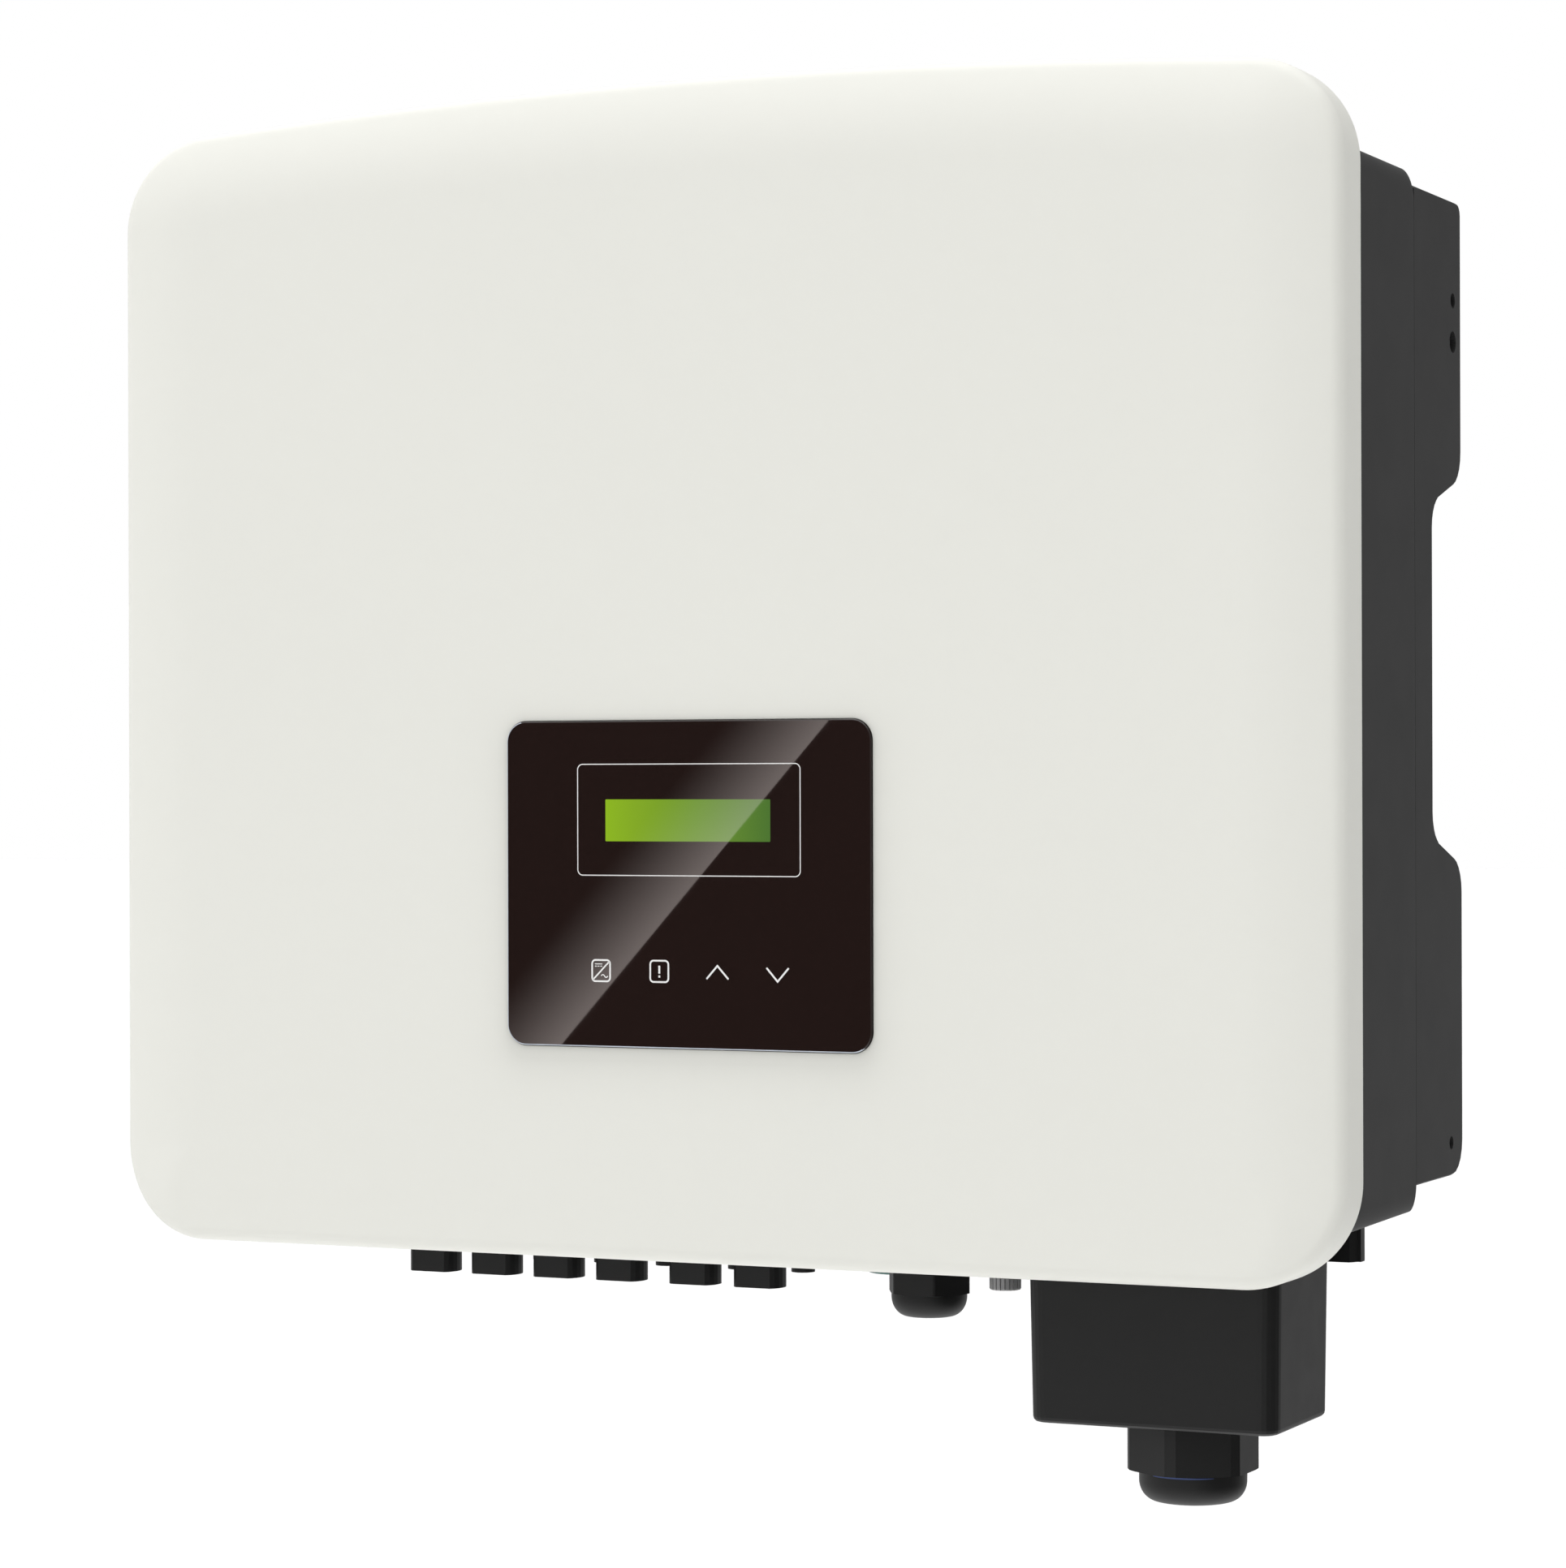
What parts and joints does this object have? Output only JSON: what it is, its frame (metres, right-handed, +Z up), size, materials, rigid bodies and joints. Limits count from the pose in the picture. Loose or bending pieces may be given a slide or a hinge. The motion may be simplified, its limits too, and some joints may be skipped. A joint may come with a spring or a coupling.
{
  "type": "string inverter",
  "caption": "Wall-hung solar string inverter: domed white cover with a flush display, dark finned body, side plates, string plugs, cable glands and a boxed mains entry underneath.",
  "frame": {"origin": "middle of the wall bracket's back face, which lies flat on the wall", "axes": "+X to the right of someone facing the display, +Y into the wall, +Z up; the cover's flat face looks along -Y"},
  "size_m": [0.482, 0.1829, 0.5051],
  "materials": {
    "white_powder_coat": "fine satin powder coat",
    "dark_powder_coat": "fine satin powder coat",
    "dark_aluminium": "dark anodised",
    "black_plastic": "fine moulded grain",
    "display_gloss": "polished",
    "green_plastic": "satin",
    "grey_plastic": "satin",
    "seal_rubber": "matte",
    "bright_steel": "zinc plated",
    "board_laminate": "solder mask",
    "winding_potting": "potted winding"
  },
  "bodies": {
    "inverter": {"ac_box": "black_plastic", "ac_box_gasket": "seal_rubber", "ac_box_screw_1": "bright_steel", "ac_box_screw_2": "bright_steel", "ac_gland_body": "black_plastic", "ac_relay": "black_plastic", "ac_terminal_block": "green_plastic", "boost_inductor_box": "dark_aluminium", "com_gland_body": "black_plastic", "control_board": "board_laminate", "cover_gasket": "seal_rubber", "cover_screw_1": "bright_steel", "cover_screw_2": "bright_steel", "cover_screw_3": "bright_steel", "cover_screw_4": "bright_steel", "dc_link_capacitor_1": "black_plastic", "dc_link_capacitor_2": "black_plastic", "display_board": "board_laminate", "display_lens": "display_gloss", "dongle_port": "green_plastic", "front_cover": "white_powder_coat", "front_string_connector_1": "black_plastic", "front_string_connector_2": "black_plastic", "front_string_connector_3": "black_plastic", "front_string_connector_4": "black_plastic", "front_string_connector_5": "black_plastic", "front_string_connector_6": "black_plastic", "hanger_bar": "bright_steel", "heat_sink": "dark_aluminium", "housing": "dark_powder_coat", "isolator_switch": "black_plastic", "lcd_module": "bright_steel", "left_cheek": "dark_powder_coat", "left_fan_frame": "black_plastic", "left_lock_screw": "bright_steel", "output_inductor_1": "winding_potting", "output_inductor_2": "winding_potting", "output_inductor_3": "winding_potting", "power_board": "board_laminate", "power_module": "black_plastic", "rear_string_connector_1": "black_plastic", "rear_string_connector_2": "black_plastic", "rear_string_connector_3": "black_plastic", "rear_string_connector_4": "black_plastic", "rear_string_connector_5": "black_plastic", "rear_string_connector_6": "black_plastic", "right_cheek": "dark_powder_coat", "right_fan_frame": "black_plastic", "right_lock_screw": "bright_steel", "vent_plug": "grey_plastic", "wall_bracket": "bright_steel"},
    "ac_gland_nut": {"ac_gland_nut": "black_plastic"},
    "ac_gland_seal": {"ac_gland_seal": "seal_rubber"},
    "com_gland_nut": {"com_gland_nut": "black_plastic"},
    "com_gland_seal": {"com_gland_seal": "seal_rubber"},
    "isolator_knob": {"isolator_knob": "black_plastic"},
    "left_fan_rotor": {"left_fan_rotor": "black_plastic"},
    "right_fan_rotor": {"right_fan_rotor": "black_plastic"}
  },
  "joints": [
    {"name": "isolator_turn", "type": "hinge", "parent": "inverter", "child": "isolator_knob", "pos_m": [0.2002, -0.0727, -0.3238], "axis": [0, 0, 1], "range_deg": [0, 90]},
    {"name": "left_fan_spin", "type": "hinge", "parent": "inverter", "child": "left_fan_rotor", "pos_m": [-0.05, -0.0292, -0.239], "axis": [0, 1, 0], "continuous": true},
    {"name": "right_fan_spin", "type": "hinge", "parent": "inverter", "child": "right_fan_rotor", "pos_m": [0.05, -0.0292, -0.239], "axis": [0, 1, 0], "continuous": true},
    {"name": "ac_seal_slide", "type": "slide", "parent": "inverter", "child": "ac_gland_seal", "axis": [0, 0, -1], "range_m": [0, 0.003]},
    {"name": "ac_nut_turn", "type": "hinge", "parent": "ac_gland_seal", "child": "ac_gland_nut", "pos_m": [0.1669, -0.12, -0.3964], "axis": [0, 0, -1], "range_deg": [0, 720]},
    {"name": "com_seal_slide", "type": "slide", "parent": "inverter", "child": "com_gland_seal", "axis": [0, 0, -1], "range_m": [0, 0.003]},
    {"name": "com_nut_turn", "type": "hinge", "parent": "com_gland_seal", "child": "com_gland_nut", "pos_m": [0.0607, -0.107, -0.3403], "axis": [0, 0, -1], "range_deg": [0, 720]}
  ],
  "couplings": [
    {"joint": "ac_seal_slide", "follows": "ac_nut_turn", "m_per_rad": 0.00023873},
    {"joint": "com_seal_slide", "follows": "com_nut_turn", "m_per_rad": 0.00023873}
  ]
}
